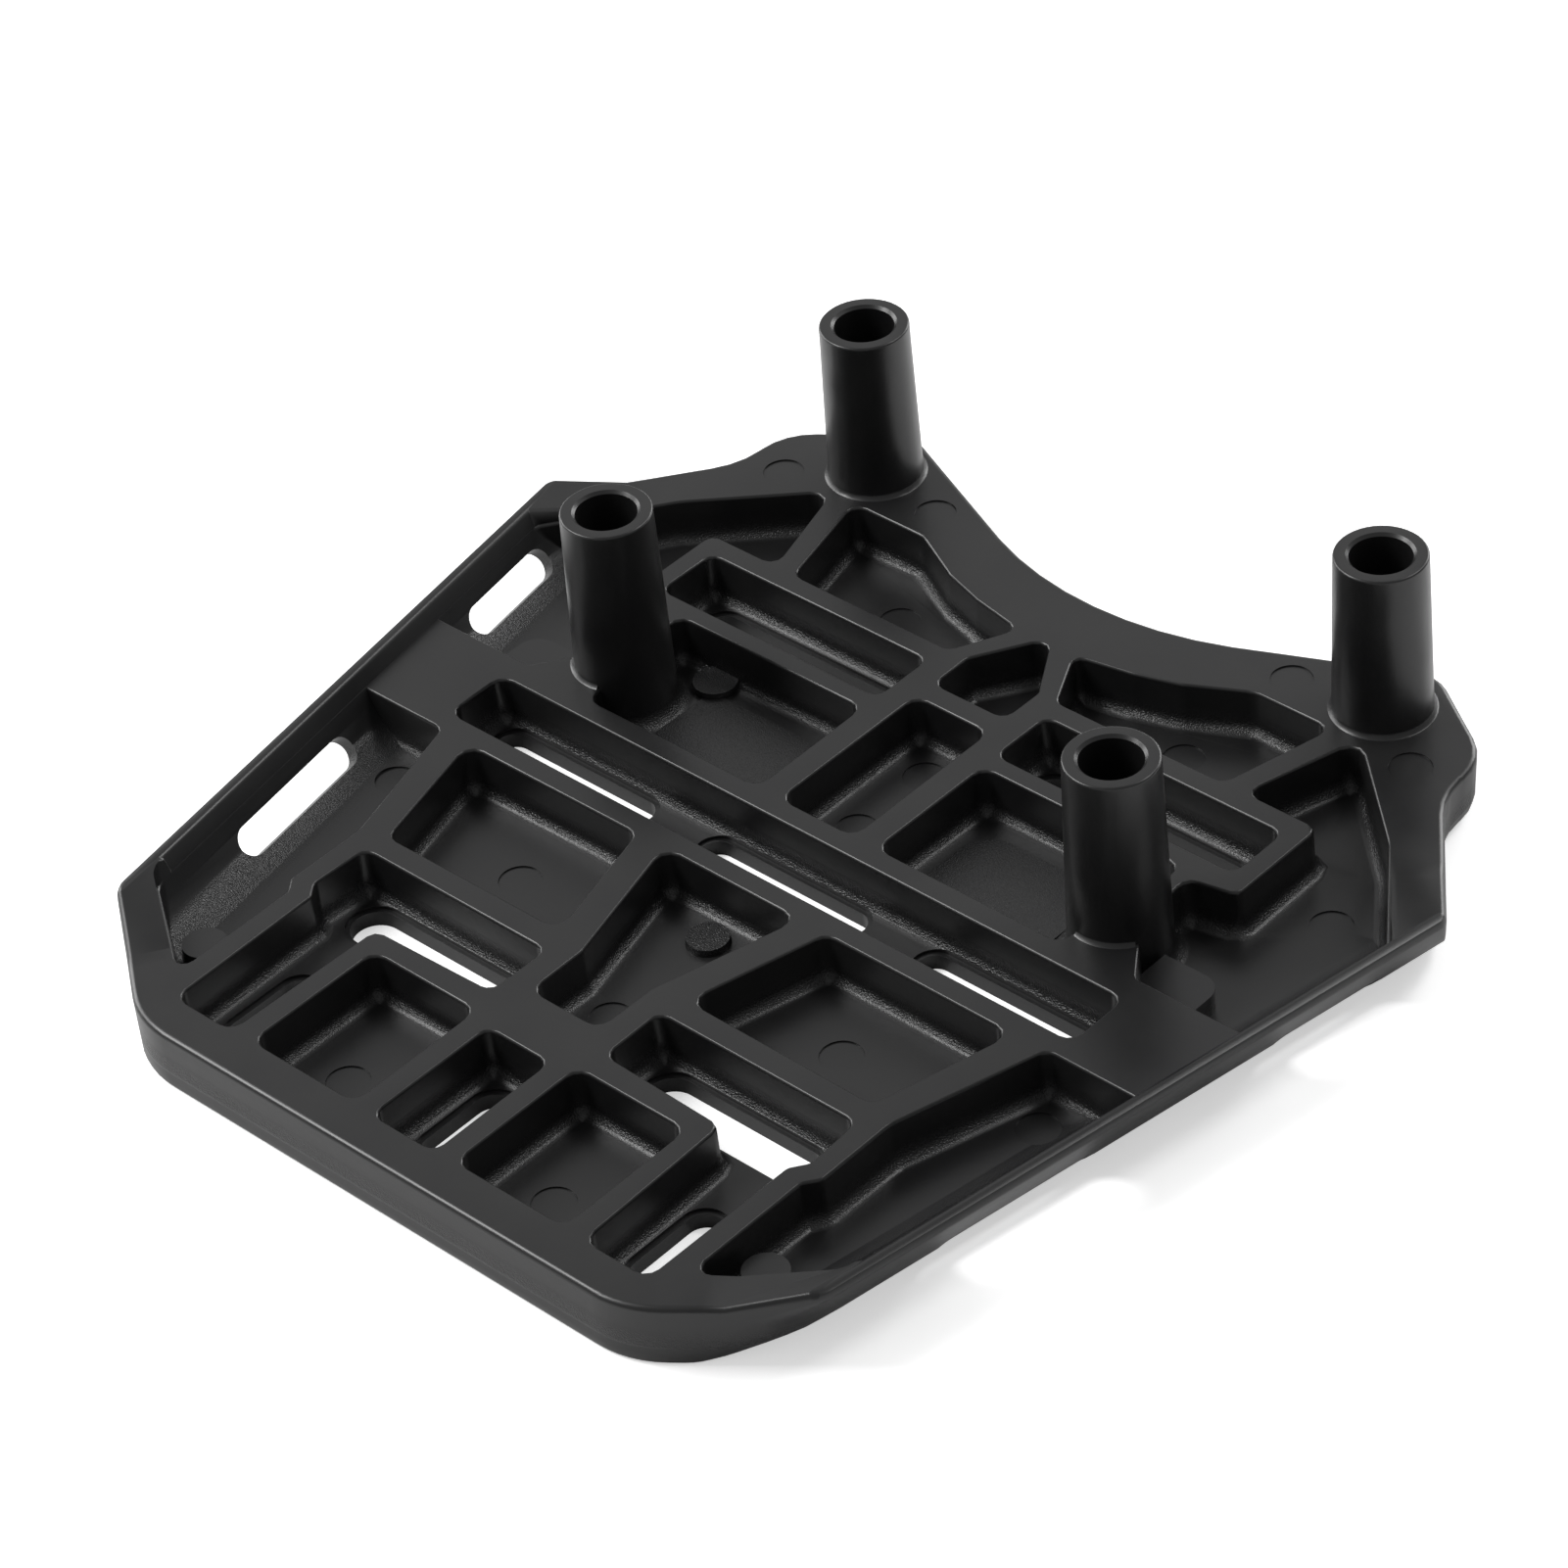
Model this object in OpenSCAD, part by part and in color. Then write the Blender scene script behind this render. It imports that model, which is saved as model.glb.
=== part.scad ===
// Motorcycle rear luggage rack: one aluminium casting, lying on its deck face
// with the four mounting bosses standing up. Millimetres, +Z up.
// Plan datum before centring: x is 0 on the symmetry plane, y is 0 at the
// front wall of the front pockets. z is 0 on the deck face.

/* [Thickness and height] */
// Height of the rib plane over the deck face
rib_height = 14; // [10:0.5:20]
// Deck thickness under the pockets
deck_thickness = 4; // [3:0.5:6]
// Height of the side rims over the rib plane
rim_rise = 3.7; // [0:0.1:8]
// Height of the boss ends over the rib plane
boss_height = 37.5; // [15:0.5:60]

/* [Plan outline] */
// Distance from the front edge to the front pockets
front_margin = 9.3; // [7:0.1:14]
// Half length of the straight front edge, to the corner point
front_half = 63.4; // [55:0.5:70]
// Half width at the front end of the side rims
shoulder_half = 93.3; // [85:0.5:100]
// Position of the front end of the side rims
shoulder_y = 13.2; // [8:0.5:20]
// Half width of the side rims, carried forward to y = 0
rim_half_at_zero = 90.6; // [85:0.25:95]
// Angle by which the side rims spread to the rear
rim_spread = 10; // [5:0.5:15]
// Position of the rear end of the side rims
rim_rear_y = 157.5; // [150:0.5:165]
// Half width at the waist behind the rims
waist_half = 92.6; // [88:0.1:96]
// Position of the waist
waist_y = 190.8; // [186:0.2:196]
// Half width at the outer corner of the rear ears
ear_half = 92.3; // [86:0.1:96]
// Position of the outer corner of the rear ears
ear_y = 204.6; // [198:0.2:210]
// Half width at the rear tip of the ears
ear_tip_half = 69.2; // [64:0.2:76]
// Position of the rear tip of the ears
ear_tip_y = 220.4; // [214:0.2:226]
// Radius of the hollow rear edge
rear_arc_r = 80; // [60:1:100]
// Position of the centre of the hollow rear edge
rear_arc_y = 277.3; // [260:0.5:290]
// Slope angle of the straight parts beside the hollow
rear_slope = 22.5; // [15:0.5:30]
// Plan radius of the front corners
front_corner_r = 22; // [5:1:30]
// Plan radius of the shoulder corners at the rim
shoulder_r = 6; // [2:0.5:10]
// Plan radius of the shoulder corners below the rim, where there is room for it
shoulder_low_r = 28; // [6:1:40]
// Plan radius of the rear rim corners
rim_rear_r = 4; // [2:0.5:8]
// Plan radius of the waist
waist_r = 18; // [6:1:20]
// Plan radius of the ear corners
ear_r = 14; // [4:0.5:14]
// Plan radius of the ear tips
ear_tip_r = 8.5; // [4:0.5:12]

/* [Outer section] */
// Radius between the front walls and the deck face
front_edge_r = 1.2; // [0.6:0.1:2]
// Radius between the rear walls and the deck face
rear_edge_r = 4.5; // [1:0.5:6]
// Radius on the top edge of the outer walls
wall_top_r = 1.2; // [0.6:0.1:1.5]
// Draft of the front walls in degrees
front_draft = 0.5; // [0:0.5:3]
// Draft of the rear walls in degrees
rear_draft = 2; // [0:0.5:4]
// Slope of the side flanges in degrees
flange_slope = 65; // [55:1:75]
// Outer radius of the side flanges
flange_outer_r = 18; // [14:0.5:18]
// Inner radius of the side flanges
flange_inner_r = 12; // [8:0.5:16]
// Thickness of the side flanges at the rim
flange_wall = 3.1; // [2:0.1:4]
// Length of the ramps at the front ends of the rims
front_ramp = 19; // [8:0.5:20]
// Length of the ramps at the rear ends of the rims
rear_ramp = 18; // [8:0.5:20]
// Width of the flat behind each rim end
rim_end_flat = 9; // [4:0.5:12]

/* [Pockets] */
// Draft of the pocket walls in degrees
pocket_draft = 2; // [0.5:0.5:4]
// Radius between pocket walls and floor
floor_r = 2.4; // [1:0.1:3]
// Radius on the edges of the ribs
rib_edge_r = 0.7; // [0.3:0.1:1]
// Plan radius of most pocket corners
corner_r = 3; // [2:0.5:4]
// Points along each rounded pocket corner
corner_steps = 4; // [3:1:6]

/* [Strap slots] */
// Width of the slots in the middle cross pocket
cross_slot_w = 7; // [5:0.5:9]
// Length of the slots in the middle cross pocket
cross_slot_l = 42; // [30:1:50]
// Spacing of the slots in the middle cross pocket
cross_slot_pitch = 56.5; // [50:0.5:60]
// Width of the slots in the rear cross pockets
rear_slot_w = 8; // [5:0.5:9]
// Length of the slots in the rear cross pockets
rear_slot_l = 51; // [40:1:54]
// Width of the cross slots in the front corner pockets
front_slot_w = 10; // [6:0.5:10]
// Length of the cross slots in the front corner pockets
front_slot_l = 41.5; // [30:0.5:42]
// Width of the lengthwise slots in the front corner pockets
long_slot_w = 8; // [5:0.5:9]
// Length of the lengthwise slots in the front pockets
long_slot_l = 22; // [15:0.5:23]
// Width of the lengthwise slot on the centre line
mid_slot_w = 8.8; // [6:0.2:10]
// Width of the ledge sunk around every floor slot
ledge_w = 1; // [0.6:0.1:1.5]
// Depth of the ledge sunk around every floor slot
ledge_depth = 0.6; // [0.4:0.1:2]
// Width of the slots in the side flanges
flange_slot_w = 6.6; // [5:0.2:8]
// Length of the front slots in the side flanges
flange_slot_front_l = 37.2; // [25:0.2:45]
// Length of the rear slots in the side flanges
flange_slot_rear_l = 27.6; // [20:0.2:32]

/* [Mounting bosses] */
// Half spacing of the front bosses
boss_front_x = 64.9; // [60:0.1:70]
// Position of the front bosses
boss_front_y = 126.4; // [120:0.1:132]
// Half spacing of the rear bosses
boss_rear_x = 66.7; // [60:0.1:70]
// Position of the rear bosses
boss_rear_y = 205.4; // [200:0.1:208]
// Outer diameter at the boss ends
boss_d = 18.8; // [16:0.2:24]
// Draft of the bosses in degrees
boss_draft = 1.1; // [0.5:0.1:3]
// Radius at the feet of the front bosses, on the pocket floor
boss_foot_r = 3; // [1:0.5:4]
// Radius at the boss feet on the rib plane
boss_rib_r = 1.6; // [0.5:0.1:1.8]
// Radius on the outer edge of the boss ends
boss_edge_r = 0.5; // [0.3:0.1:1.5]
// Diameter of the bore in each boss
bore_d = 12.6; // [8:0.1:14]
// Depth of the bore in each boss
bore_depth = 40; // [20:1:45]
// Diameter of the bolt hole through the deck
bolt_d = 8.5; // [5:0.1:10]
// Chamfer on the mouth of each bore
bore_chamfer = 0.6; // [0.2:0.1:1]

/* [Ejector marks] */
// Diameter of the ejector marks
mark_d = 8.8; // [6:0.2:10]
// Depth of the ejector marks
mark_depth = 0.3; // [0.2:0.05:0.6]
// Height of the ejector pads under the rib plane
pad_drop = 4.8; // [3:0.1:8]

/* [Hidden] */
eps = 0.05;
// Smallest plan radius that a corner keeps on any level
least_r = 0.4;
// Angles of the rings along a quarter round
quarter_turns = [0, 30, 60, 90];
zr = rib_height;
zf = deck_thickness;
pocket_depth = rib_height - deck_thickness;
// Height over the rib plane up to which the pocket cutters run
over = rim_rise + 4;
rim_end_half = rim_half_at_zero + rim_rear_y * tan(rim_spread);

// Vector helpers
function unit(v) = v / norm(v);
function out_n(d) = [d[1], -d[0]];
function turn(a, b) = atan2(a[0] * b[1] - a[1] * b[0], a * b);
function spin2(v, t) = [v[0] * cos(t) - v[1] * sin(t), v[0] * sin(t) + v[1] * cos(t)];
function at(list, i) = list[(i + len(list)) % len(list)];

// Meeting point of two edges through p, moved inwards by a and by b
function moved(p, n1, n2, a, b) = let (k = n1[0] * n2[1] - n1[1] * n2[0])
    abs(k) < 0.01 ? p - n1 * min(a, b)
    : p - [a * n2[1] - b * n1[1], b * n1[0] - a * n2[0]] / k;

// Points of one rounded corner, s > 0 where the outline turns left
function corner_pts(x, d1, t, r, n) = n < 2 || abs(t) < 0.5 ? [x]
    : let (s = sign(t), ln = [-d1[1], d1[0]], c = x - d1 * r * tan(abs(t) / 2) + ln * s * r)
    [for (k = [0:n - 1]) c - s * r * spin2(ln, t * k / (n - 1))];

// One level of an outline. A corner is [x, y, radius, steps, kind of the edge
// after it, share of the rim rise]. ins holds one inset for each edge kind.
function level(c, ins) = [for (i = [0:len(c) - 1]) let (
    p = [c[i][0], c[i][1]],
    p0 = [at(c, i - 1)[0], at(c, i - 1)[1]],
    p1 = [at(c, i + 1)[0], at(c, i + 1)[1]],
    d1 = unit(p - p0), d2 = unit(p1 - p),
    a = ins[at(c, i - 1)[4]], b = ins[c[i][4]],
    t = turn(d1, d2),
    x = moved(p, out_n(d1), out_n(d2), a, b),
    r = max(least_r, c[i][2] - sign(t) * (a + b) / 2))
    each corner_pts(x, d1, t, r, c[i][3])];

// Rim share of every point of a level
function shares(c) = [for (i = [0:len(c) - 1]) let (
    p = [c[i][0], c[i][1]],
    d1 = unit(p - [at(c, i - 1)[0], at(c, i - 1)[1]]),
    d2 = unit([at(c, i + 1)[0], at(c, i + 1)[1]] - p))
    each [for (k = [1:(c[i][3] < 2 || abs(turn(d1, d2)) < 0.5 ? 1 : c[i][3])]) c[i][5]]];

// Cap of a closed loop, cut into triangles ear by ear
function area2(a, b, c) = (b[0] - a[0]) * (c[1] - a[1]) - (b[1] - a[1]) * (c[0] - a[0]);
function inside(p, a, b, c) = area2(a, b, p) > -1e-9 && area2(b, c, p) > -1e-9
    && area2(c, a, p) > -1e-9;
function is_ear(q, id, i) = let (n = len(id), a = q[id[(i + n - 1) % n]], b = q[id[i]],
    c = q[id[(i + 1) % n]])
    area2(a, b, c) > 1e-7 && len([for (k = [2:n - 2])
        if (inside(q[id[(i + k) % n]], a, b, c)) 1]) == 0;
function find_ear(q, id, i) = i >= len(id) ? 0 : is_ear(q, id, i) ? i : find_ear(q, id, i + 1);
function ears(q, id) = len(id) < 3 ? [] : len(id) == 3 ? [id]
    : let (n = len(id), i = find_ear(q, id, 0))
    concat([[id[(i + n - 1) % n], id[i], id[(i + 1) % n]]],
        ears(q, [for (k = [0:n - 1]) if (k != i) id[k]]));

// Closed solid through loops of equal length, lowest loop first. With a hub the
// two ends are fans around it, and otherwise they are cut into ears.
module loft(loops, hub = undef) {
    n = len(loops[0]);
    m = len(loops);
    flat0 = [for (p = loops[0]) [p[0], p[1]]];
    flat1 = [for (p = loops[m - 1]) [p[0], p[1]]];
    ids = [for (i = [0:n - 1]) i];
    low = is_undef(hub) ? ears(flat0, ids) : [for (i = ids) [i, (i + 1) % n, m * n]];
    top = is_undef(hub) ? [for (t = ears(flat1, ids)) [for (k = [2, 1, 0]) (m - 1) * n + t[k]]]
        : [for (i = ids) [(m - 1) * n + (i + 1) % n, (m - 1) * n + i, m * n + 1]];
    hubs = is_undef(hub) ? [] : [[hub[0], hub[1], loops[0][0][2]], [hub[0], hub[1], loops[m - 1][0][2]]];
    polyhedron(
        points = concat([for (l = loops) each l], hubs),
        faces = concat(
            low,
            top,
            [for (k = [0:m - 2], i = [0:n - 1]) let (j = (i + 1) % n)
                [k * n + i, (k + 1) * n + i, (k + 1) * n + j]],
            [for (k = [0:m - 2], i = [0:n - 1]) let (j = (i + 1) % n)
                [k * n + i, (k + 1) * n + j, k * n + j]]),
        convexity = 10);
}

// Plan outline, counter-clockwise from the middle of the front edge.
// Edge kinds: 0 front wall, 1 side rim, 2 wall beside the front end of a rim,
// 3 wall beside its rear end, 4 rear wall.
front_chamfer = [shoulder_half - front_half, shoulder_y + front_margin];
ramp_a = unit(front_chamfer);
ramp_b = unit([waist_half - rim_end_half, waist_y - rim_rear_y]);
rim_line = [sin(rim_spread), cos(rim_spread)];
shoulder_turn = turn(ramp_a, rim_line);
rim_rear_turn = turn(rim_line, ramp_b);
// Length of the level wall kept beyond each ramp, and gaps that keep points apart
ramp_flat = 4;
point_gap = 0.5;
ramp_gap = 1;
// Length of the front chamfer that the front corner leaves free
chamfer_room = norm(front_chamfer) - front_corner_r * tan(turn([1, 0], front_chamfer) / 2);
// A ramp lies between two points on the wall beside a rim end. front and rear
// are their distances from it, and low_r is the radius of the shoulder.
function right_side(front, rear, low_r) = let (
    shoulder = [shoulder_half, shoulder_y],
    rim_end = [rim_end_half, rim_rear_y],
    a0 = shoulder - ramp_a * min(front + ramp_flat, chamfer_room - point_gap),
    a1 = shoulder - ramp_a * front,
    b0 = rim_end + ramp_b * rear,
    b1 = rim_end + ramp_b * (rear + ramp_flat)) [
    [front_half, -front_margin, front_corner_r, 7, 0, 0],
    [a0[0], a0[1], 0, 1, 2, 0],
    [a1[0], a1[1], 0, 1, 2, 0],
    [shoulder_half, shoulder_y, low_r, 7, 1, 1],
    [rim_end_half, rim_rear_y, rim_rear_r, 5, 3, 1],
    [b0[0], b0[1], 0, 1, 3, 0],
    [b1[0], b1[1], 0, 1, 4, 0],
    [waist_half, waist_y, waist_r, 4, 4, 0],
    [ear_half, ear_y, ear_r, 5, 4, 0],
    [ear_tip_half, ear_tip_y, ear_tip_r, 5, 4, 0]];
rear_arc = [for (a = [rear_slope:-rear_slope / 4:-rear_slope - 0.01])
    [rear_arc_r * sin(a), rear_arc_y - rear_arc_r * cos(a), 0, 1, 4, 0]];
function left_side(right) = [for (i = [len(right) - 1:-1:0]) let (c = right[i])
    [-c[0], c[1], c[2], c[3], i > 0 ? right[i - 1][4] : 0, c[5]]];
function outline_slid(front, rear, low_r) = let (right = right_side(front, rear, low_r))
    concat([[0, -front_margin, 0, 1, 0, 0]], right, rear_arc, left_side(right));
outline = outline_slid(front_ramp, rear_ramp, shoulder_r);
// Length of the wall that the inset flange takes up at its end corner
function taken(w, f, t) = (f - w * cos(t)) / sin(t);
// Outline of a level below the rim: the shoulder is as round as the chamfer
// has room for, and the ramp points slide clear of the inset flange.
function outline_low(w, f, v) = let (
    used = taken(w, f, shoulder_turn),
    half = tan(shoulder_turn / 2),
    r = max(least_r, min(shoulder_low_r, (chamfer_room - 3 * ramp_gap - used) / half)))
    outline_slid(min(chamfer_room - ramp_gap - point_gap / 2, max(front_ramp, used + r * half + ramp_gap)),
        max(rear_ramp, taken(v, f, rim_rear_turn) + 2 * ramp_gap), r + (w + f) / 2);
outline_shares = shares(outline);
widest = level(outline, [0, 0, 0, 0, 0]);
y_mid = (max([for (p = widest) p[1]]) - front_margin) / 2;

// Inset of a wall and of the side flange at a height below their tops
function wall_inset(z, r, draft) = (rib_height - z) * tan(draft)
    + (z < r ? r - sqrt(max(0, pow(r, 2) - pow(r - z, 2))) : 0);
bend_z = flange_outer_r * (1 - cos(flange_slope));
bend_x = (rib_height + rim_rise - bend_z) / tan(flange_slope);
function flange_inset(z) = z > bend_z ? (rib_height + rim_rise - z) / tan(flange_slope)
    : bend_x + flange_outer_r * sin(flange_slope)
    - sqrt(max(0, pow(flange_outer_r, 2) - pow(flange_outer_r - z, 2)));

// Rounded tops: [drop, inset] of the wall edge and of the thin rim
rim_r = flange_wall / 2;
rim_c = rim_r * sin(flange_slope) + (rim_r + rim_r * cos(flange_slope)) / tan(flange_slope);
rim_turns = [flange_slope - 90, 10, 45, 90, 125, 90 + flange_slope];
function rim_top(a) = [rim_r - rim_r * sin(a), rim_c - rim_r * cos(a)];
function wall_top(a) = [wall_top_r - wall_top_r * sin(a), wall_top_r - wall_top_r * cos(a)];
wall_turns = [0, 20, 50, 90];
// Steps inwards from ring to ring on the rib plane
ring_step = 1;
rim_foot = rim_top(90 + flange_slope)[1]
    + (rim_rise - rim_top(90 + flange_slope)[0]) / tan(flange_slope);
flat_steps = [rim_end_flat, rim_end_flat + ring_step, rim_end_flat + 2 * ring_step];
form_hub_y = (waist_y + shoulder_y) / 2;
bend_top = min(bend_z, rib_height - wall_top_r - 1);
// Levels of the outer form below its top edge: around the front edge radius,
// then at shares of the bend of the side flanges
lower_z = concat([for (a = [0, 30, 55, 90]) front_edge_r * (1 - cos(a))],
    [for (share = [0.26, 0.45, 0.7, 1]) share * bend_top]);

// Solid outer form with its raised side rims
module outer_form() {
    lower = [for (z = lower_z) let (w = wall_inset(z, front_edge_r, front_draft),
        v = wall_inset(z, rear_edge_r, rear_draft), f = flange_inset(z))
        [for (p = level(outline_low(w, f, v), [w, f, w, v, v])) [p[0], p[1], z]]];
    edge = [for (k = [0:3]) let (w = wall_top(wall_turns[k]), r = rim_top(rim_turns[k]))
        let (q = level(outline, [w[1], r[1], w[1], w[1], w[1]]))
        [for (i = [0:len(q) - 1]) let (h = outline_shares[i])
            [q[i][0], q[i][1], zr - w[0] + h * (rim_rise - r[0] + w[0])]]];
    inner = [for (k = [4, 5]) let (r = rim_top(rim_turns[k]), f = flat_steps[k - 4])
        let (w = wall_top_r + (k - 3) * ring_step, q = level(outline, [w, r[1], f, f, w]))
        [for (i = [0:len(q) - 1])
            [q[i][0], q[i][1], zr + outline_shares[i] * (rim_rise - r[0])]]];
    foot = [for (p = level(outline, [wall_top_r + 3 * ring_step, rim_foot, flat_steps[2], flat_steps[2],
        wall_top_r + 3 * ring_step])) [p[0], p[1], zr]];
    loft(concat(lower, edge, inner, [foot]), [0, form_hub_y]);
}

// Pocket depths from the rib plane with the inset of a drafted, filleted wall
function pocket_inset(d) = d * tan(pocket_draft);
// Height over the floor of the ring halfway up the inner bend of a flange
bend_ring_h = 4;
function pocket_loops(c, depth, flange = false) = let (
    k0 = rim_foot + eps,
    slope = tan(flange_slope),
    zb = flange_inner_r * (1 - cos(flange_slope)),
    run = flange_inner_r * sin(flange_slope))
    concat(
        [for (a = quarter_turns) let (
            z = zr - depth + floor_r - floor_r * cos(a),
            w = pocket_inset(depth - (z - zr + depth)) + floor_r * (1 - sin(a)),
            f = k0 + (depth - zb) / slope + run
                - sqrt(max(0, pow(flange_inner_r, 2) - pow(flange_inner_r - (z - zr + depth), 2))))
            [for (p = level(c, [w, f, 0])) [p[0], p[1], z]]],
        flange ? [for (h = [bend_ring_h, zb]) let (w = pocket_inset(depth - h),
            f = k0 + (depth - zb) / slope + run
                - sqrt(max(0, pow(flange_inner_r, 2) - pow(flange_inner_r - h, 2))))
            [for (p = level(c, [w, f, 0])) [p[0], p[1], zr - depth + h]]] : [],
        [for (a = quarter_turns) let (w = pocket_inset(rib_edge_r) - rib_edge_r * (1 - cos(a)),
            z = zr + eps - rib_edge_r * (1 - sin(a)))
            [for (p = level(c, [w, k0 - (z - zr) / slope, 0])) [p[0], p[1], z]]],
        [let (w = pocket_inset(rib_edge_r) - rib_edge_r, f = k0 - over / slope)
            [for (p = level(c, [w, f, 0])) [p[0], p[1], zr + over]]]);
module pocket(c, flange = false) loft(pocket_loops(c, pocket_depth, flange));

// Corners of a plain pocket, all with the same radius
function plain(pts, r = corner_r) = [for (p = pts) [p[0], p[1], r, corner_steps, 0, 0]];
function box_pts(x0, y0, x1, y1) = [[x0, y0], [x1, y0], [x1, y1], [x0, y1]];

// Pocket outlines at the rib plane, right half
front_pocket = plain(box_pts(13.3, 0, 40.8, 31.8));
corner_pocket = [
    [46.3, -0.4, 3, 4, 0, 0], [61.7, -0.4, 3, 4, 0, 0], [62.3, 35.8, 2, 3, 0, 0],
    [64.8, 39.2, 2, 3, 0, 0], [64.2, 52.3, 2.5, 4, 0, 0], [14.9, 52.3, 2.5, 4, 0, 0],
    [15.1, 37.6, 2.5, 4, 0, 0], [45.3, 36.6, 2.5, 3, 0, 0]];
wing_pocket = plain([[17, 58.1], [63.3, 57.8], [71.1, 87.8], [24.9, 87.9]]);
boss_pocket = plain([[15.7, 112.8], [61.4, 112.8], [66.2, 143.8], [15.9, 143.8]]);
rear_pocket = plain(box_pts(15.7, 148.2, 74.9, 163.2), 2.5);
arc_pocket = [
    [14.4, 168.2, 2.5, 4, 0, 0], [56.3, 168.2, 3, 4, 0, 0], [62.8, 194, 2.5, 4, 0, 0],
    [43.6, 194, 6, 3, 0, 0], [30.6, 187.3, 10, 3, 0, 0], [20.5, 184.2, 10, 3, 0, 0],
    [7.4, 181.7, 2, 4, 0, 0]];
// Point of the rim line at a position along y, and pocket ends on that line
function rim_x(y) = rim_half_at_zero + y * tan(rim_spread);
function on_rim(p, d) = let (t = (rim_half_at_zero + p[1] * tan(rim_spread) - p[0])
    / (d[0] - d[1] * tan(rim_spread))) p + d * t;
side_front = on_rim([71.2, 8.4], unit([1, 0.675]));
side_pocket_pts = [
    [67.1, 5, 2, 5, 0, 0],
    [side_front[0], side_front[1], 7, 5, 1, 0],
    [rim_x(88.2), 88.2, 0, 1, 0, 0],
    [79.2, 88.2, 2.5, 4, 0, 0],
    [69.6, 55.6, 6, 3, 0, 0],
    [69.6, 37.2, 2, 3, 0, 0],
    [67.2, 34.1, 2, 3, 0, 0]];
tail_rear = on_rim([92.9, 172.9], unit([17.1, -22.9]));
tail_pocket_pts = [
    [79.6, 113.6, 1.5, 3, 0, 0],
    [rim_x(113.6), 113.6, 0, 1, 1, 0],
    [tail_rear[0], tail_rear[1], 5, 4, 0, 0],
    [92.9, 172.9, 15, 3, 0, 0],
    [69.4, 194.6, 3, 4, 0, 0],
    [61.7, 168.4, 2.5, 4, 0, 0],
    [79.7, 168.4, 2.5, 3, 0, 0],
    [79.7, 143.6, 2, 3, 0, 0],
    [68.8, 141.5, 3, 4, 0, 0],
    [70.5, 126, 0, 1, 0, 0]];

// Pocket outlines on the centre line
mid_front_pocket = plain(box_pts(-8, -0.5, 8, 29.7), 2.5);
mid_pocket = plain([[-8.8, 42.3], [8.8, 42.3], [9, 56.5], [17.6, 88.1], [-17.6, 88.1], [-9, 56.5]]);
cross_pocket = plain(box_pts(-81.3, 92.9, 81.3, 107.7));
mid_boss_pocket = plain(box_pts(-9.5, 112.8, 9.5, 152.8));
mid_rear_pocket = plain([[-9.2, 158.1], [9.2, 158.1], [9.3, 168.4], [0, 183.4], [-9.3, 168.4]], 2.5);

module both_sides() {
    children();
    mirror([1, 0, 0]) children();
}

module pockets() {
    both_sides() {
        pocket(front_pocket);
        pocket(corner_pocket);
        pocket(wing_pocket);
        pocket(boss_pocket);
        pocket(rear_pocket);
        pocket(arc_pocket);
        pocket(side_pocket_pts, true);
        pocket(tail_pocket_pts, true);
    }
    pocket(mid_front_pocket);
    pocket(mid_pocket);
    pocket(cross_pocket);
    pocket(mid_boss_pocket);
    pocket(mid_rear_pocket);
}

// Flat outline of a slot with round ends
module slot_flat(l, w) {
    square([l - w, w], center = true);
    for (s = [-1, 1]) translate([s * (l - w) / 2, 0]) circle(d = w, $fn = 48);
}

// Distance that cutters pass the face they cut through
past = 1;
// Strap slot through the deck with its sunk ledge
module floor_slot(x, y, l, w, turned = 0) {
    translate([x, y, 0]) rotate([0, 0, turned]) {
        translate([0, 0, -past]) linear_extrude(zf + 2 * past) slot_flat(l, w);
        translate([0, 0, zf - ledge_depth]) linear_extrude(ledge_depth + past)
            slot_flat(l + 2 * ledge_w, w + 2 * ledge_w);
    }
}

// Slot through a side flange, square to the sheet
slot_tilt = 47;
slot_drop = 5.9;
slot_inset = 8.3;
// Reach of its cutter to both sides of the middle of the sheet
slot_out = 9;
slot_in = 5;
module flange_slot(y, l) {
    translate([rim_x(y) - slot_inset / cos(rim_spread), y, zr - slot_drop])
        rotate([0, 0, -rim_spread]) rotate([0, -slot_tilt, 0]) rotate([0, 0, 90])
            translate([0, 0, -slot_out]) linear_extrude(slot_out + slot_in) slot_flat(l, flange_slot_w);
}

front_slot_y = 44.6;
front_slot_x = 39.6;
long_slot_x = 53.2;
long_slot_y = 15.2;
mid_slot_y = 14.8;
cross_slot_y = 101.8;
rear_slot_x = 44.6;
rear_slot_y = 155.8;
flange_slot_front_y = 60;
flange_slot_rear_y = 134;
module slots() {
    both_sides() {
        floor_slot(front_slot_x, front_slot_y, front_slot_l, front_slot_w);
        floor_slot(long_slot_x, long_slot_y, long_slot_l, long_slot_w, 90);
        floor_slot(rear_slot_x, rear_slot_y, rear_slot_l, rear_slot_w);
        floor_slot(cross_slot_pitch, cross_slot_y, cross_slot_l, cross_slot_w);
        flange_slot(flange_slot_front_y, flange_slot_front_l);
        flange_slot(flange_slot_rear_y, flange_slot_rear_l);
    }
    floor_slot(0, cross_slot_y, cross_slot_l, cross_slot_w);
    floor_slot(0, mid_slot_y, long_slot_l, mid_slot_w, 90);
}

// Depth over which bosses and flares stand inside the metal below them
root = 2.5;
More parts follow.
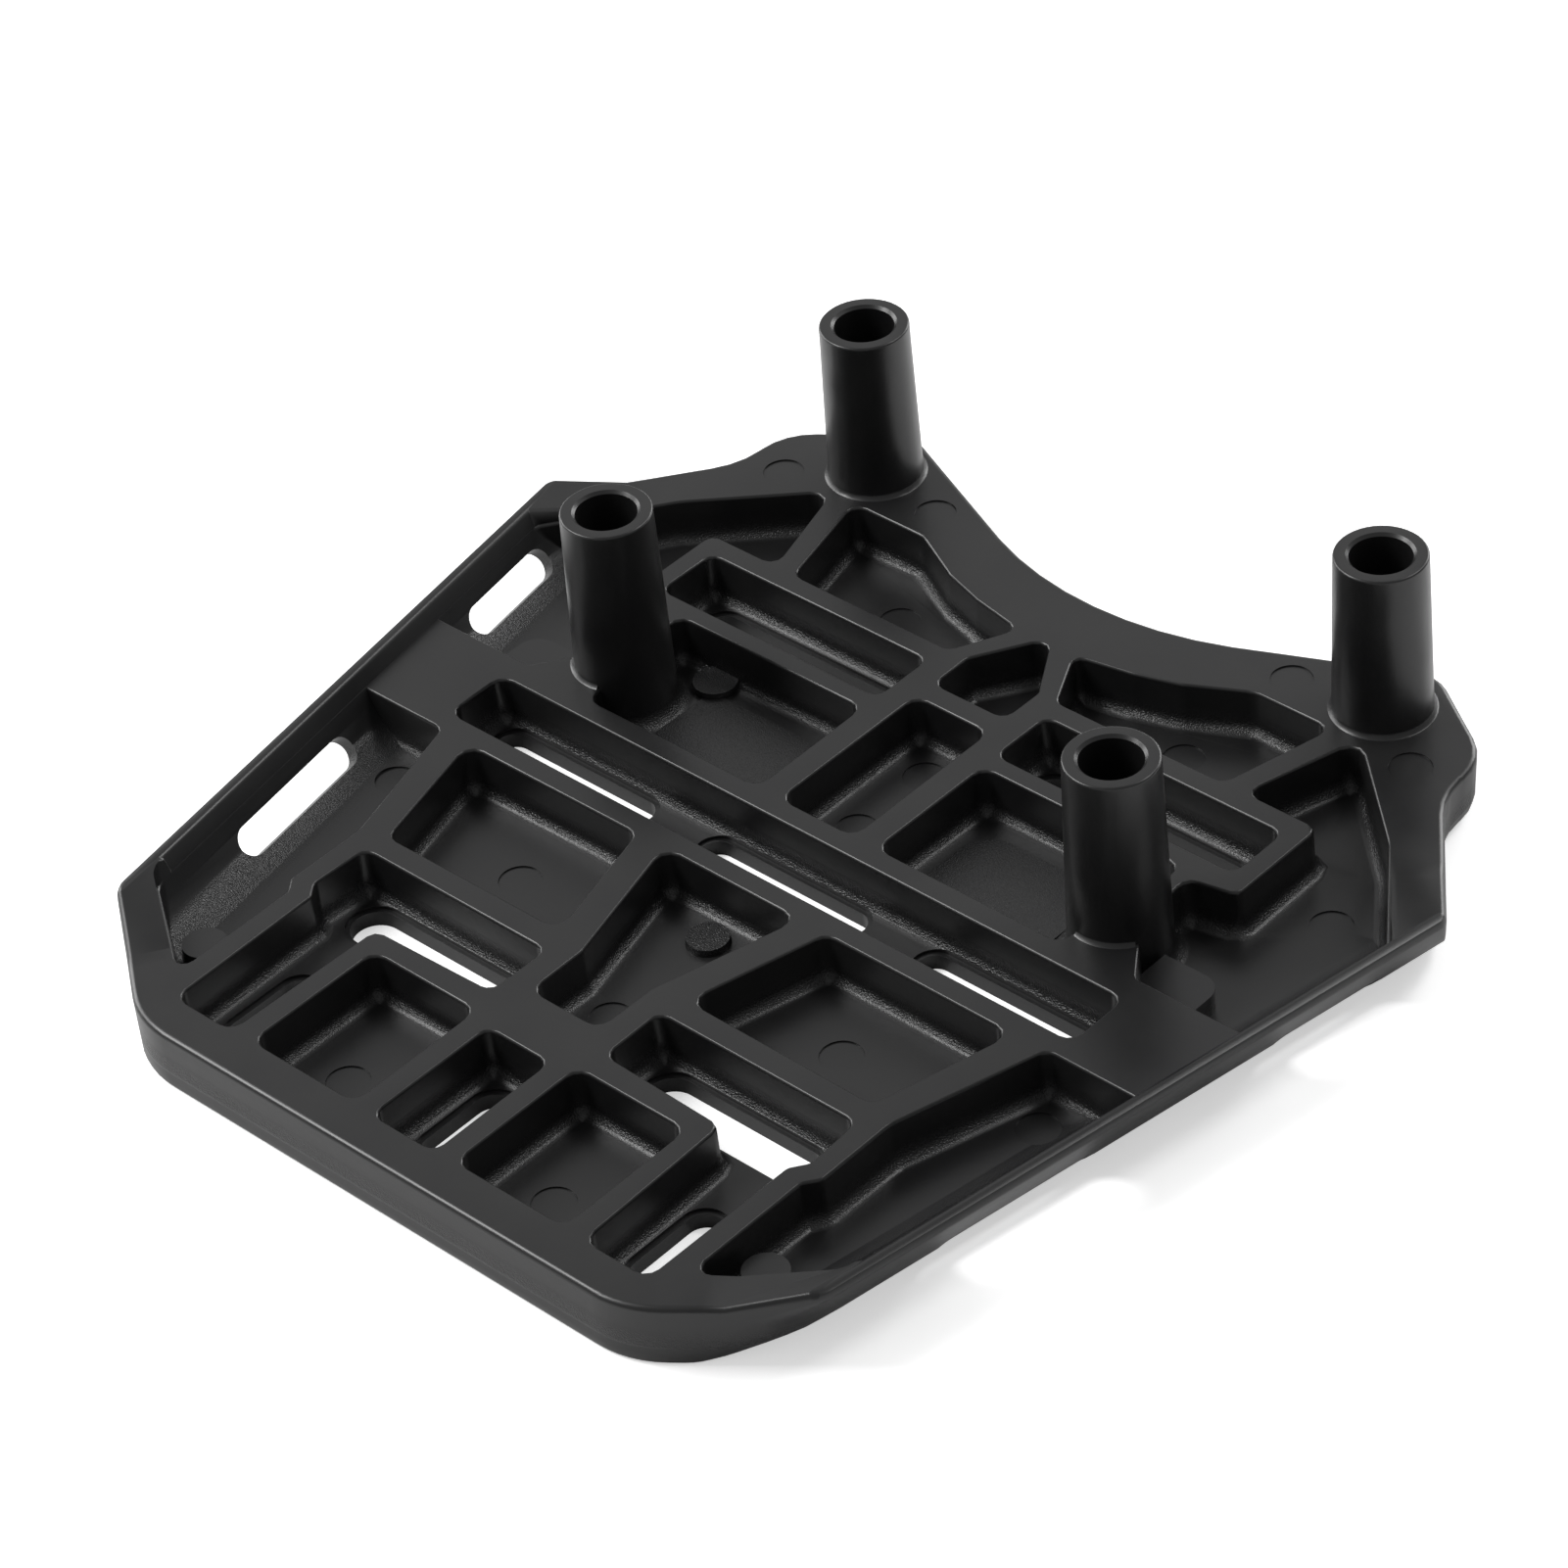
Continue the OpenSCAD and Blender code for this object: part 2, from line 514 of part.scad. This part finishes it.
// Bosses: drafted post with a rounded foot on the pocket floor
boss_sites = [[boss_front_x, boss_front_y], [boss_rear_x, boss_rear_y]];
boss_top = rib_height + boss_height;
function boss_r(z) = boss_d / 2 + (boss_top - z) * tan(boss_draft);
module boss_post(on_floor) {
    foot = [for (a = quarter_turns) [boss_r(zf) + boss_foot_r * (1 - sin(a)),
        zf + boss_foot_r * (1 - cos(a))]];
    rotate_extrude($fn = 96) polygon(concat(
        on_floor ? concat([[0, zf - root], [boss_r(zf) + boss_foot_r, zf - root]], foot)
            : [[0, zf + root], [boss_r(zf + root), zf + root]],
        [for (a = quarter_turns) [boss_d / 2 - boss_edge_r * (1 - cos(a)),
            boss_top - boss_edge_r * (1 - sin(a))]],
        [[0, boss_top]]));
}
// Rounded foot of a boss on the rib plane, sunk a little so that it cuts the
// plane, and drawn in a little so that it starts inside the post
flare_sink = 0.15;
flare_bite = 0.1;
module boss_flare() {
    rotate_extrude($fn = 96) polygon(concat(
        [[0, zr - root], [boss_r(zr) + boss_rib_r, zr - root]],
        [for (a = quarter_turns) [boss_r(zr) + boss_rib_r * (1 - sin(a)) - flare_bite,
            zr - flare_sink + boss_rib_r * (1 - cos(a))]],
        [[0, zr - flare_sink + boss_rib_r]]));
}
module boss_bore() {
    translate([0, 0, boss_top - bore_depth]) cylinder(d = bore_d, h = bore_depth + past, $fn = 96);
    translate([0, 0, boss_top - bore_chamfer])
        cylinder(d1 = bore_d, d2 = bore_d + 4 * bore_chamfer, h = 2 * bore_chamfer, $fn = 96);
    translate([0, 0, -past]) cylinder(d = bolt_d, h = boss_top, $fn = 96);
}

// Ejector marks: shallow round prints on floors and rib plane
floor_marks = [[27.1, 10], [42.3, 71.8], [37.5, 178.8], [92, 156.3], [84.4, 79]];
mid_marks = [[0, 53.3], [0, 123.5], [0, 143.7]];
top_marks = [[82.4, 193.7], [46.9, 201.7]];
module mark(p, z) translate([p[0], p[1], z - mark_depth]) cylinder(d = mark_d, h = past, $fn = 48);
module marks() {
    both_sides() {
        for (p = floor_marks) mark(p, zf);
        for (p = top_marks) mark(p, zr);
    }
    for (p = mid_marks) mark(p, zf);
}

// Raised ejector pads: round ones, a rounded tab beside each front boss, and a
// low stepped field in each boss pocket
low_pad_h = 1.5;
tab_h = pocket_depth - pad_drop;
pad_taper = 0.8;
boss_pads = [[53.4, 140.2, low_pad_h, 9.4], [73.6, 17.2, tab_h, 9]];
mid_pad = [0, 80.6, low_pad_h, 8.6];
tab_at = [76, 113];
tab_long = [9.8, 13.2];
tab_wide = [14.4, 8.6];
field_at = [20.6, 115];
field_wide = [32, 15];
field_long = [24, 23];
module pad(p) translate([p[0], p[1], zf - past])
    cylinder(d1 = p[3] + pad_taper, d2 = p[3], h = p[2] + past, $fn = 48);
module tab() {
    square(tab_long);
    square(tab_wide);
    translate([tab_long[0], tab_wide[1]]) circle(r = tab_wide[0] - tab_long[0], $fn = 48);
}
module field() {
    r = field_wide[0] - field_long[0];
    square(field_wide);
    translate([r, 0]) square(field_long);
    translate([r, field_wide[1]]) circle(r = r, $fn = 48);
}
module pads() {
    both_sides() {
        for (p = boss_pads) pad(p);
        translate([tab_at[0], tab_at[1], zf - past]) linear_extrude(tab_h + past) tab();
        translate([field_at[0], field_at[1], zf - past]) linear_extrude(mark_depth + past) field();
    }
    pad(mid_pad);
}

module rack_casting() {
    color([0.07, 0.07, 0.075]) translate([0, -y_mid, 0]) difference() {
        union() {
            difference() {
                union() {
                    outer_form();
                    both_sides() for (s = boss_sites) translate([s[0], s[1], 0]) boss_flare();
                }
                pockets();
            }
            pads();
            both_sides() {
                translate([boss_front_x, boss_front_y, 0]) boss_post(true);
                translate([boss_rear_x, boss_rear_y, 0]) boss_post(false);
            }
        }
        slots();
        marks();
        both_sides() for (s = boss_sites) translate([s[0], s[1], 0]) boss_bore();
    }
}

rack_casting();
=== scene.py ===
import math
import bpy
from mathutils import Matrix, Vector


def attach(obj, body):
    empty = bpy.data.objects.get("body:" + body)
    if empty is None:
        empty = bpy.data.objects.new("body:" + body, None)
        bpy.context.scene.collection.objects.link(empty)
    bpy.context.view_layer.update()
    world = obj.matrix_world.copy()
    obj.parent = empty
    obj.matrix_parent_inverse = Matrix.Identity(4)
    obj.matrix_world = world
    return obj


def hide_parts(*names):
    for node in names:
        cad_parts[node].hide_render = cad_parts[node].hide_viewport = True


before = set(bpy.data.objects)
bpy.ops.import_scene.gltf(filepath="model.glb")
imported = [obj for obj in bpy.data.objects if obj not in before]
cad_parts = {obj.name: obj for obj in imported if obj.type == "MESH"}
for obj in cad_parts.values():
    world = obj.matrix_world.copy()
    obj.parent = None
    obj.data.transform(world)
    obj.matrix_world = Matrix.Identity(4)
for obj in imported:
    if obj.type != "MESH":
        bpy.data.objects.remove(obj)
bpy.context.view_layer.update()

MM = 0.001

# Heights over the deck face, which lies on the floor
POCKET_FLOOR = 4 * MM
RIB_PLANE = 14 * MM

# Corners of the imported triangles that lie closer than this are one
WELD = 0.002 * MM
# Faces that meet at a smaller angle than this are shaded as one cast radius
SMOOTH_ANGLE = 38

# Patterns in the coat. The grit is drawn one preview pixel wide, since finer
# grit would not show.
DRIFT = 18 * MM
PEEL = 1.4 * MM
PEEL_DEPTH = 0.08 * MM
GRIT = 0.3 * MM
GRIT_DEPTH = 0.2 * MM

# Side of the paper sweep in metres, and the glow that only the camera sees
FLOOR_SIDE = 12
FLOOR_GLOW = 0.5

# White surroundings: as a lamp on the casting, and as the camera sees them
WORLD_LIGHT = 0.36
WORLD_SEEN = 1.0

# Camera: the point it aims at, its direction from there in degrees, distance
# and roll, with the lens and sensor in millimetres
AIM = Vector((-0.01193, 0.01149, 0.014))
AZIMUTH = 45.973
ELEVATION = 38.854
DISTANCE = 1.06523
ROLL = -5.777
LENS = 124.94
SENSOR = 36.0


def deselect():
    """Leave object mode with nothing selected."""
    if bpy.context.object and bpy.context.object.mode != "OBJECT":
        bpy.ops.object.mode_set(mode="OBJECT")
    bpy.ops.object.select_all(action="DESELECT")


def pick(piece):
    """Make one piece the active and only selected one."""
    deselect()
    piece.select_set(True)
    bpy.context.view_layer.objects.active = piece


def linear(hex_colour):
    """sRGB hex to the linear colour that a shader takes."""
    parts = [int(hex_colour[i:i + 2], 16) / 255 for i in (1, 3, 5)]
    return tuple(p / 12.92 if p <= 0.04045 else ((p + 0.055) / 1.055) ** 2.4 for p in parts) + (1,)


def node(tree, kind, links=(), props=(), **sockets):
    """Add a node; sockets by name, links as (input, source node, output)."""
    made = tree.nodes.new(kind)
    for name, value in props:
        setattr(made, name, value)
    for name, value in sockets.items():
        made.inputs[name.replace("_", " ")].default_value = value
    for target, source, output in links:
        tree.links.new(source.outputs[output], made.inputs[target])
    return made


# Materials

def powder_coat():
    """Satin black powder coat over cast aluminium: even and black, with a soft
    sheen, a fine orange peel all over, and the grit of the sand blasted casting
    showing through in the radii at the feet of the ribs, where it sparkles."""
    material = bpy.data.materials.new("satin_black_powder_coat")
    material.use_nodes = True
    tree = material.node_tree
    shader = tree.nodes["Principled BSDF"]
    place = node(tree, "ShaderNodeTexCoord")
    # Colour drifts a little, as the coat's thickness does
    drift = node(tree, "ShaderNodeTexNoise", [("Vector", place, "Object")],
                 Scale=1 / DRIFT, Detail=3.0)
    tone = node(tree, "ShaderNodeValToRGB", [("Fac", drift, "Fac")])
    tone.color_ramp.elements[0].position = 0.3
    tone.color_ramp.elements[0].color = linear("#131314")
    tone.color_ramp.elements[1].position = 0.7
    tone.color_ramp.elements[1].color = linear("#191919")
    tree.links.new(tone.outputs["Color"], shader.inputs["Base Color"])
    # Height picks the grit, which lies in the radii between floors and walls
    split = node(tree, "ShaderNodeSeparateXYZ", [("Vector", place, "Object")])
    height = node(tree, "ShaderNodeMapRange", [("Value", split, "Z")])
    height.inputs["From Min"].default_value = POCKET_FLOOR
    height.inputs["From Max"].default_value = RIB_PLANE
    low = node(tree, "ShaderNodeValToRGB", [("Fac", height, "Result")])
    for spot, value in ((0.06, 1.0), (0.22, 1.0), (0.45, 0.0)):
        low.color_ramp.elements.new(spot).color = (value, value, value, 1)
    low.color_ramp.elements[0].color = (0, 0, 0, 1)
    low.color_ramp.elements[-1].color = (0, 0, 0, 1)
    grit = node(tree, "ShaderNodeTexNoise", [("Vector", place, "Object")],
                Scale=1 / GRIT, Detail=1.0)
    # Orange peel: the soft waves that the molten coat keeps as it sets
    peel = node(tree, "ShaderNodeTexNoise", [("Vector", place, "Object")],
                Scale=1 / PEEL, Detail=1.0)
    grit_share = node(tree, "ShaderNodeMath", [(0, grit, "Fac"), (1, low, "Color")],
                      [("operation", "MULTIPLY")])
    peel_bump = node(tree, "ShaderNodeBump", [("Height", peel, "Fac")],
                     Strength=0.12, Distance=PEEL_DEPTH)
    grit_bump = node(tree, "ShaderNodeBump",
                     [("Height", grit_share, "Value"), ("Normal", peel_bump, "Normal")],
                     Strength=1.0, Distance=GRIT_DEPTH)
    tree.links.new(grit_bump.outputs["Normal"], shader.inputs["Normal"])
    # The sheen drifts with the colour, from satin to a little duller
    gloss = node(tree, "ShaderNodeMapRange", [("Value", drift, "Fac")])
    gloss.inputs["To Min"].default_value = 0.28
    gloss.inputs["To Max"].default_value = 0.38
    tree.links.new(gloss.outputs["Result"], shader.inputs["Roughness"])
    shader.inputs["IOR"].default_value = 1.5
    return material


def pale_floor():
    """Matt white paper sweep that keeps a soft shadow. Its glow is there for
    the camera alone, so that it looks white without lighting the casting."""
    material = bpy.data.materials.new("white_paper_sweep")
    material.use_nodes = True
    tree = material.node_tree
    shader = tree.nodes["Principled BSDF"]
    shader.inputs["Base Color"].default_value = linear("#f2f2f2")
    shader.inputs["Roughness"].default_value = 0.9
    shader.inputs["Specular IOR Level"].default_value = 0.1
    path = node(tree, "ShaderNodeLightPath")
    glow = node(tree, "ShaderNodeEmission", [("Strength", path, "Is Camera Ray")])
    glow.inputs["Color"].default_value = (FLOOR_GLOW, FLOOR_GLOW, FLOOR_GLOW, 1)
    both = node(tree, "ShaderNodeAddShader")
    tree.links.new(shader.outputs["BSDF"], both.inputs[0])
    tree.links.new(glow.outputs["Emission"], both.inputs[1])
    tree.links.new(both.outputs["Shader"], tree.nodes["Material Output"].inputs["Surface"])
    return material


# The casting, coated, with soft shading over its cast radii

def coated_casting(material):
    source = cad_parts["rack_casting"]
    piece = bpy.data.objects.new("coated_casting", source.data.copy())
    bpy.context.scene.collection.objects.link(piece)
    pick(piece)
    bpy.ops.object.mode_set(mode="EDIT")
    bpy.ops.mesh.select_all(action="SELECT")
    bpy.ops.mesh.remove_doubles(threshold=WELD)
    bpy.ops.object.mode_set(mode="OBJECT")
    piece.data.materials.clear()
    piece.data.materials.append(material)
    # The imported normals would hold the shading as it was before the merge
    bpy.ops.mesh.customdata_custom_splitnormals_clear()
    bpy.ops.object.shade_smooth_by_angle(angle=math.radians(SMOOTH_ANGLE))
    flats = piece.modifiers.new("flat_faces_lead", "WEIGHTED_NORMAL")
    flats.keep_sharp = True
    flats.weight = 50
    bpy.ops.object.modifier_apply(modifier=flats.name)
    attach(piece, "root")
    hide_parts("rack_casting")
    return piece


# Stage

# Name, place, side in metres and power in watts of each softbox. The one above
# left is the strongest, and the two low ones stand on the far side.
SOFTBOXES = (
    ("softbox_above_left", (-0.84, -0.53, 1.08), 0.6, 16),
    ("softbox_above_right", (0.39, 0.81, 1.2), 0.4, 5),
    ("softbox_behind", (-0.9, 0.9, 1.0), 0.9, 1),
    ("softbox_behind_left", (-1.5, -0.05, 0.55), 0.8, 11),
    ("softbox_behind_right", (-0.05, 1.5, 0.55), 0.8, 11))


def floor_and_light(material):
    deselect()
    bpy.ops.mesh.primitive_plane_add(size=FLOOR_SIDE, location=(0, 0, 0))
    floor = bpy.context.object
    floor.name = "paper_sweep"
    floor.data.materials.append(material)

    world = bpy.data.worlds.new("white_studio")
    bpy.context.scene.world = world
    world.use_nodes = True
    tree = world.node_tree
    back = tree.nodes["Background"]
    path = node(tree, "ShaderNodeLightPath")
    seen = node(tree, "ShaderNodeMapRange", [("Value", path, "Is Camera Ray")])
    seen.inputs["To Min"].default_value = WORLD_LIGHT
    seen.inputs["To Max"].default_value = WORLD_SEEN
    back.inputs["Color"].default_value = (1, 1, 1, 1)
    tree.links.new(seen.outputs["Result"], back.inputs["Strength"])

    for name, place, size, power in SOFTBOXES:
        bpy.ops.object.light_add(type="AREA", location=place)
        lamp = bpy.context.object
        lamp.name = name
        lamp.data.size = size
        lamp.data.energy = power
        lamp.rotation_euler = (Vector((0, 0, 0)) - Vector(place)).to_track_quat("-Z", "Y").to_euler()


def photo_camera():
    a, e = math.radians(AZIMUTH), math.radians(ELEVATION)
    away = Vector((math.sin(a) * math.cos(e), -math.cos(a) * math.cos(e), math.sin(e)))
    bpy.ops.object.camera_add(location=AIM + away * DISTANCE)
    camera = bpy.context.object
    look = (-away).to_track_quat("-Z", "Y").to_matrix().to_4x4()
    turned = look @ Matrix.Rotation(math.radians(ROLL), 4, "Z")
    camera.rotation_euler = turned.to_euler()
    camera.data.lens = LENS
    camera.data.sensor_width = SENSOR
    camera.data.clip_start = 0.05
    camera.data.clip_end = 20
    bpy.context.scene.camera = camera


photo_camera()
coated_casting(powder_coat())
floor_and_light(pale_floor())
bpy.context.scene.view_settings.view_transform = "Standard"
